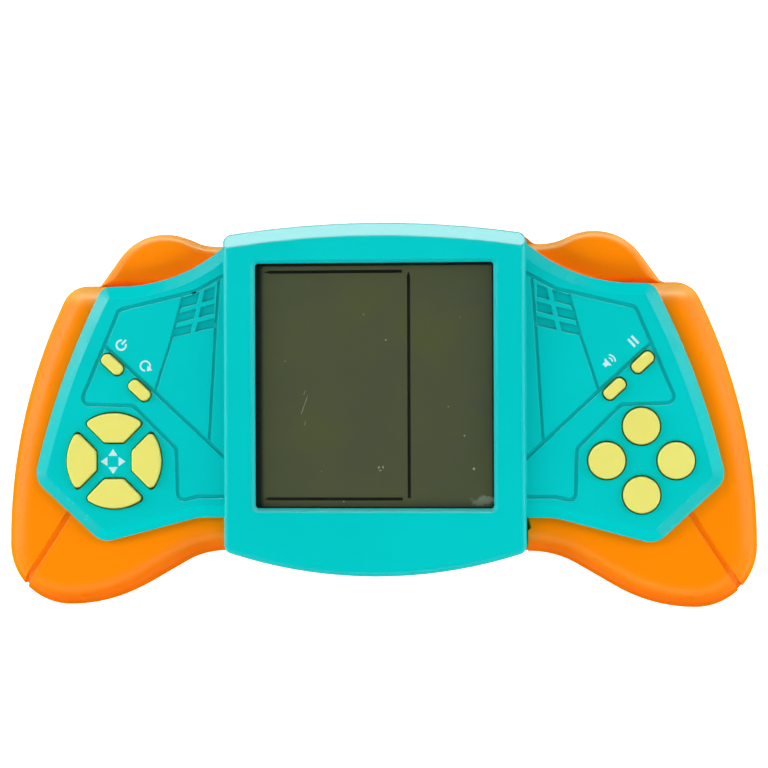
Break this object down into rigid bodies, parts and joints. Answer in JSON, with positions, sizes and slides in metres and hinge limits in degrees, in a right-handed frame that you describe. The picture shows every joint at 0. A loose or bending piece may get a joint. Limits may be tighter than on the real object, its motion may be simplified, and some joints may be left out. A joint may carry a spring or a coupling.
{
  "type": "handheld electronic game",
  "caption": "Handheld block game with a raised screen block, two keyed wing plates, rounded grips with shoulder lobes and a sliding battery door.",
  "frame": {"origin": "centre of the bounding box, on the plane that the back rests on", "axes": "+X to the player's right, +Y towards the top edge, +Z out of the screen"},
  "size_m": [0.1798, 0.0912, 0.027],
  "materials": {
    "turquoise_shell": "satin moulded ABS",
    "orange_shell": "satin moulded ABS",
    "yellow_keys": "satin moulded ABS",
    "clear_lens": "clear acrylic",
    "display_glass": "liquid crystal cell",
    "reflector_foil": "olive polariser foil",
    "white_frame": "matt",
    "grey_rubber": "soft silicone",
    "board_laminate": "solder mask",
    "black_resin": "resin",
    "part_bodies": "moulded",
    "ribbon_film": "film",
    "brass_disc": "brushed",
    "red_wire": "insulation",
    "cell_wrap": "satin wrap",
    "nickel_plate": "nickel plated",
    "zinc_screw": "zinc plated"
  },
  "bodies": {
    "case": {"front_cover": "turquoise_shell", "left_grip_cover": "orange_shell", "right_grip_cover": "orange_shell", "rear_cover": "orange_shell", "screen_lens": "clear_lens", "lcd_front_glass": "display_glass", "lcd_rear_glass": "display_glass", "lcd_reflector": "reflector_foil", "lcd_frame": "white_frame", "zebra_strip": "grey_rubber", "main_board": "board_laminate", "controller_chip": "black_resin", "board_components": "part_bodies", "left_key_board": "board_laminate", "right_key_board": "board_laminate", "left_key_mat": "grey_rubber", "right_key_mat": "grey_rubber", "left_ribbon": "ribbon_film", "right_ribbon": "ribbon_film", "speaker_disc": "brass_disc", "speaker_leads": "red_wire", "aa_cell_upper": "cell_wrap", "aa_cell_lower": "cell_wrap", "battery_springs": "nickel_plate", "battery_plates": "nickel_plate", "battery_leads": "red_wire", "case_screws": "zinc_screw", "key_board_screws": "zinc_screw", "main_board_screws": "zinc_screw"},
    "key_up": {"key_up": "yellow_keys"},
    "key_left": {"key_left": "yellow_keys"},
    "key_down": {"key_down": "yellow_keys"},
    "key_right": {"key_right": "yellow_keys"},
    "key_power": {"key_power": "yellow_keys"},
    "key_reset": {"key_reset": "yellow_keys"},
    "key_round_top": {"key_round_top": "yellow_keys"},
    "key_round_left": {"key_round_left": "yellow_keys"},
    "key_round_bottom": {"key_round_bottom": "yellow_keys"},
    "key_round_right": {"key_round_right": "yellow_keys"},
    "key_sound": {"key_sound": "yellow_keys"},
    "key_pause": {"key_pause": "yellow_keys"},
    "battery_door": {"battery_door": "orange_shell"}
  },
  "joints": [
    {"name": "key_up_press", "type": "slide", "parent": "case", "child": "key_up", "axis": [0, 0, -1], "range_m": [0, 0.001], "stiffness_N_per_m": 600, "deforming": ["left_key_mat"]},
    {"name": "key_left_press", "type": "slide", "parent": "case", "child": "key_left", "axis": [0, 0, -1], "range_m": [0, 0.001], "stiffness_N_per_m": 600, "deforming": ["left_key_mat"]},
    {"name": "key_down_press", "type": "slide", "parent": "case", "child": "key_down", "axis": [0, 0, -1], "range_m": [0, 0.001], "stiffness_N_per_m": 600, "deforming": ["left_key_mat"]},
    {"name": "key_right_press", "type": "slide", "parent": "case", "child": "key_right", "axis": [0, 0, -1], "range_m": [0, 0.001], "stiffness_N_per_m": 600, "deforming": ["left_key_mat"]},
    {"name": "key_power_press", "type": "slide", "parent": "case", "child": "key_power", "axis": [0, 0, -1], "range_m": [0, 0.001], "stiffness_N_per_m": 600, "deforming": ["left_key_mat"]},
    {"name": "key_reset_press", "type": "slide", "parent": "case", "child": "key_reset", "axis": [0, 0, -1], "range_m": [0, 0.001], "stiffness_N_per_m": 600, "deforming": ["left_key_mat"]},
    {"name": "key_round_top_press", "type": "slide", "parent": "case", "child": "key_round_top", "axis": [0, 0, -1], "range_m": [0, 0.001], "stiffness_N_per_m": 600, "deforming": ["right_key_mat"]},
    {"name": "key_round_left_press", "type": "slide", "parent": "case", "child": "key_round_left", "axis": [0, 0, -1], "range_m": [0, 0.001], "stiffness_N_per_m": 600, "deforming": ["right_key_mat"]},
    {"name": "key_round_bottom_press", "type": "slide", "parent": "case", "child": "key_round_bottom", "axis": [0, 0, -1], "range_m": [0, 0.001], "stiffness_N_per_m": 600, "deforming": ["right_key_mat"]},
    {"name": "key_round_right_press", "type": "slide", "parent": "case", "child": "key_round_right", "axis": [0, 0, -1], "range_m": [0, 0.001], "stiffness_N_per_m": 600, "deforming": ["right_key_mat"]},
    {"name": "key_sound_press", "type": "slide", "parent": "case", "child": "key_sound", "axis": [0, 0, -1], "range_m": [0, 0.001], "stiffness_N_per_m": 600, "deforming": ["right_key_mat"]},
    {"name": "key_pause_press", "type": "slide", "parent": "case", "child": "key_pause", "axis": [0, 0, -1], "range_m": [0, 0.001], "stiffness_N_per_m": 600, "deforming": ["right_key_mat"]},
    {"name": "battery_door_slide", "type": "slide", "parent": "case", "child": "battery_door", "axis": [0, -1, 0], "range_m": [0, 0.034]}
  ]
}
